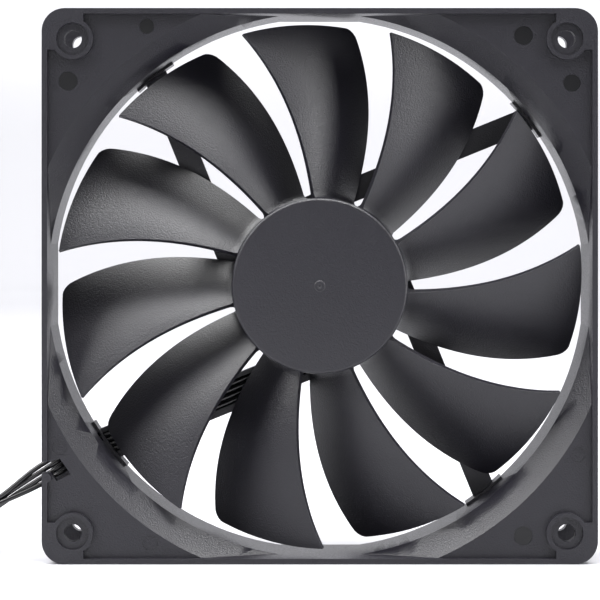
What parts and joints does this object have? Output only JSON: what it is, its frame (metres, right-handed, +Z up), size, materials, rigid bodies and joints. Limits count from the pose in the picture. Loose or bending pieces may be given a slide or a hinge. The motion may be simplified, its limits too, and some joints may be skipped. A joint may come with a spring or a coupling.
{
  "type": "case fan",
  "caption": "Square 140 mm by 25 mm computer case fan with a free-spinning bladed rotor, open-corner screw flanges and a coiled lead with a plug.",
  "frame": {"origin": "bottom centre of the fan without its lead: the middle of the lower side it stands on, halfway through its depth", "axes": "+Z up, +X to the right seen from the intake face, the intake face looks along -Y, and the rotor's axis runs along Y at 70 mm height"},
  "size_m": [0.1968, 0.0413, 0.14],
  "materials": {
    "frame_pbt": "fine-grained moulded black PBT",
    "impeller_pbt": "fine-grained moulded black PBT",
    "yoke_steel": "deep-drawn zinc-plated steel",
    "ferrite": "bonded ferrite magnet",
    "ground_steel": "ground shaft steel",
    "brass": "turned brass",
    "spring_steel": "stamped spring steel",
    "nylon_white": "natural nylon",
    "sintered_bronze": "oil-impregnated sintered bronze",
    "cap_black": "moulded black plastic",
    "label_paper": "blank black film label",
    "lamination": "stacked electrical steel",
    "insulator_pbt": "moulded natural PBT",
    "enamelled_copper": "wound enamelled copper wire",
    "tinned_pin": "tinned brass pins",
    "board_green": "solder-masked glass-fibre board",
    "chip_black": "moulded epoxy",
    "capacitor_tan": "moulded tantalum capacitor",
    "wire_pvc": "black PVC wire insulation",
    "tie_nylon": "black nylon cable tie",
    "plug_nylon": "black nylon connector",
    "contact_tin": "tin-plated phosphor bronze"
  },
  "bodies": {
    "housing": {"frame": "frame_pbt", "oil_washer": "nylon_white", "sleeve_bearing": "sintered_bronze", "bearing_tube": "brass", "thrust_pad": "nylon_white", "rear_cap": "cap_black", "rear_label": "label_paper", "stator_core": "lamination", "upper_insulator": "insulator_pbt", "lower_insulator": "insulator_pbt", "winding_1": "enamelled_copper", "winding_2": "enamelled_copper", "winding_3": "enamelled_copper", "winding_4": "enamelled_copper", "stator_pins": "tinned_pin", "circuit_board": "board_green", "hall_sensor": "chip_black", "driver_ic": "chip_black", "capacitor": "capacitor_tan", "diode": "chip_black", "chip_resistors": "chip_black", "leads": "wire_pvc", "lead_cord": "wire_pvc", "lead_tail": "wire_pvc", "lead_coil": "wire_pvc", "plug_wires": "wire_pvc", "cable_tie": "tie_nylon", "plug_housing": "plug_nylon", "plug_terminals": "contact_tin"},
    "rotor": {"impeller": "impeller_pbt", "rotor_yoke": "yoke_steel", "ring_magnet": "ferrite", "shaft": "ground_steel", "shaft_insert": "brass", "retaining_clip": "spring_steel"}
  },
  "joints": [
    {"name": "rotor_spin", "type": "hinge", "parent": "housing", "child": "rotor", "pos_m": [0, 0, 0.07], "axis": [0, -1, 0], "continuous": true}
  ]
}
